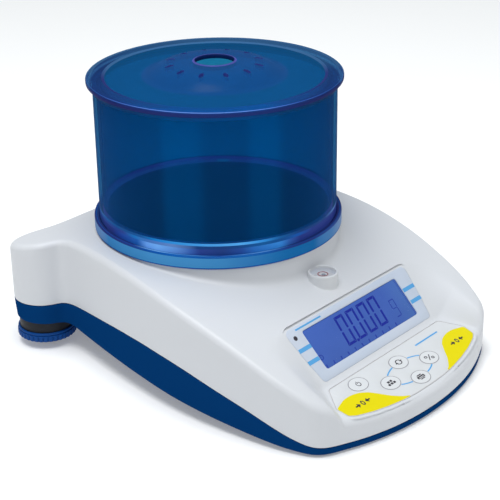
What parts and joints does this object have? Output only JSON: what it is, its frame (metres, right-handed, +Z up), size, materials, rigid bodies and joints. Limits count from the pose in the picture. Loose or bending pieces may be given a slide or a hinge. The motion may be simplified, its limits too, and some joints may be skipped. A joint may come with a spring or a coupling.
{
  "type": "analytical balance",
  "caption": "Compact bench balance with a round pan, a lift-off tinted draught shield with a vented lid, a sloping display, a membrane keypad and levelling feet.",
  "frame": {"origin": "on the bench, in the middle of the footprint (bottom centre of the bounding box); the pan axis stands 29.9 mm behind it", "axes": "+X to the user's right, +Y to the rear, +Z up; the display faces -Y"},
  "size_m": [0.1714, 0.2308, 0.1564],
  "materials": {
    "case_white": "fine-grained satin",
    "tray_blue": "fine-grained satin",
    "shield_tint": "clear blue moulded plastic, glossy",
    "ring_tint": "light blue moulded plastic, glossy",
    "pan_steel": "brushed",
    "cast_aluminium": "machined",
    "zinc_steel": "zinc plated",
    "brass": "turned",
    "black_plastic": "satin",
    "foot_blue": "satin",
    "rubber": "matt",
    "circuit_board": "solder mask",
    "window": "clear hard-coated plastic with printed border",
    "lcd": "backlit liquid crystal glass",
    "diffuser": "milky",
    "overlay": "printed membrane",
    "key_white": "soft gloss",
    "key_yellow": "soft gloss",
    "vial": "clear liquid-filled capsule",
    "battery": "shrink sleeve",
    "cable": "satin sheath"
  },
  "bodies": {
    "case": {"upper_case": "case_white", "lower_case": "tray_blue", "power_jack": "black_plastic", "load_cell": "cast_aluminium", "load_cell_spacer": "cast_aluminium", "chassis_plate": "cast_aluminium", "overload_stop_screw": "zinc_steel", "cell_screw_rear": "zinc_steel", "cell_screw_front": "zinc_steel", "case_screw_1": "zinc_steel", "case_screw_2": "zinc_steel", "case_screw_3": "zinc_steel", "case_screw_4": "zinc_steel", "usb_port": "zinc_steel", "serial_port": "zinc_steel", "foot_insert_left": "brass", "foot_insert_right": "brass", "front_foot_left": "rubber", "front_foot_right": "rubber", "main_board": "circuit_board", "display_board": "circuit_board", "keypad_board": "circuit_board", "socket_board": "circuit_board", "display_window": "window", "lcd_panel": "lcd", "lcd_backlight": "diffuser", "keypad_overlay": "overlay", "level_housing": "key_white", "level_vial": "vial", "battery_pack": "battery", "load_cell_cable": "cable", "ribbon_cable": "cable", "socket_cable": "cable"},
    "load_bracket": {"pan_bracket": "cast_aluminium", "bracket_screw_front": "zinc_steel", "bracket_screw_rear": "zinc_steel"},
    "support": {"pan_support": "black_plastic"},
    "pan": {"weighing_pan": "pan_steel"},
    "shield": {"shield_cylinder": "shield_tint", "shield_base_ring": "ring_tint"},
    "lid": {"shield_lid": "shield_tint"},
    "left_foot_pad": {"foot_pad_left": "rubber"},
    "right_foot_pad": {"foot_pad_right": "rubber"},
    "left_foot": {"foot_dial_left": "foot_blue", "foot_collar_left": "black_plastic", "foot_stud_left": "zinc_steel"},
    "right_foot": {"foot_dial_right": "foot_blue", "foot_collar_right": "black_plastic", "foot_stud_right": "zinc_steel"},
    "power_key_cap": {"power_key": "key_white"},
    "mode_key_cap": {"mode_key": "key_white"},
    "units_key_cap": {"units_key": "key_white"},
    "sample_key_cap": {"sample_key": "key_white"},
    "print_key_cap": {"print_key": "key_white"},
    "tare_key_left_cap": {"tare_key_left": "key_yellow"},
    "tare_key_right_cap": {"tare_key_right": "key_yellow"}
  },
  "joints": [
    {"name": "bracket_deflection", "type": "slide", "parent": "case", "child": "load_bracket", "axis": [0, 0, -1], "range_m": [0, 0.0002], "stiffness_N_per_m": 20000},
    {"name": "support_lift", "type": "slide", "parent": "load_bracket", "child": "support", "axis": [0, 0, 1], "range_m": [0, 0.012]},
    {"name": "pan_lift", "type": "slide", "parent": "support", "child": "pan", "axis": [0, 0, 1], "range_m": [0, 0.05]},
    {"name": "shield_lift", "type": "slide", "parent": "case", "child": "shield", "axis": [0, 0, 1], "range_m": [0, 0.1]},
    {"name": "lid_lift", "type": "slide", "parent": "shield", "child": "lid", "axis": [0, 0, 1], "range_m": [0, 0.05]},
    {"name": "left_foot_raise", "type": "slide", "parent": "case", "child": "left_foot_pad", "axis": [0, 0, 1], "range_m": [-0.003, 0.003]},
    {"name": "left_foot_turn", "type": "hinge", "parent": "left_foot_pad", "child": "left_foot", "pos_m": [-0.0688, 0.09867, 0.007], "axis": [0, 0, 1], "range_deg": [-1080, 1080]},
    {"name": "right_foot_raise", "type": "slide", "parent": "case", "child": "right_foot_pad", "axis": [0, 0, 1], "range_m": [-0.003, 0.003]},
    {"name": "right_foot_turn", "type": "hinge", "parent": "right_foot_pad", "child": "right_foot", "pos_m": [0.0688, 0.09867, 0.007], "axis": [0, 0, 1], "range_deg": [-1080, 1080]},
    {"name": "power_key_press", "type": "slide", "parent": "case", "child": "power_key_cap", "axis": [0, 0.248, -0.9688], "range_m": [0, 0.0005], "stiffness_N_per_m": 60, "springref_m": -0.002},
    {"name": "mode_key_press", "type": "slide", "parent": "case", "child": "mode_key_cap", "axis": [0, 0.248, -0.9688], "range_m": [0, 0.0005], "stiffness_N_per_m": 60, "springref_m": -0.002},
    {"name": "units_key_press", "type": "slide", "parent": "case", "child": "units_key_cap", "axis": [0, 0.248, -0.9688], "range_m": [0, 0.0005], "stiffness_N_per_m": 60, "springref_m": -0.002},
    {"name": "sample_key_press", "type": "slide", "parent": "case", "child": "sample_key_cap", "axis": [0, 0.248, -0.9688], "range_m": [0, 0.0005], "stiffness_N_per_m": 60, "springref_m": -0.002},
    {"name": "print_key_press", "type": "slide", "parent": "case", "child": "print_key_cap", "axis": [0, 0.248, -0.9688], "range_m": [0, 0.0005], "stiffness_N_per_m": 60, "springref_m": -0.002},
    {"name": "tare_key_left_press", "type": "slide", "parent": "case", "child": "tare_key_left_cap", "axis": [0, 0.248, -0.9688], "range_m": [0, 0.0005], "stiffness_N_per_m": 60, "springref_m": -0.002},
    {"name": "tare_key_right_press", "type": "slide", "parent": "case", "child": "tare_key_right_cap", "axis": [0, 0.248, -0.9688], "range_m": [0, 0.0005], "stiffness_N_per_m": 60, "springref_m": -0.002}
  ],
  "couplings": [
    {"joint": "left_foot_raise", "follows": "left_foot_turn", "m_per_rad": 0.00015915},
    {"joint": "right_foot_raise", "follows": "right_foot_turn", "m_per_rad": 0.00015915}
  ]
}
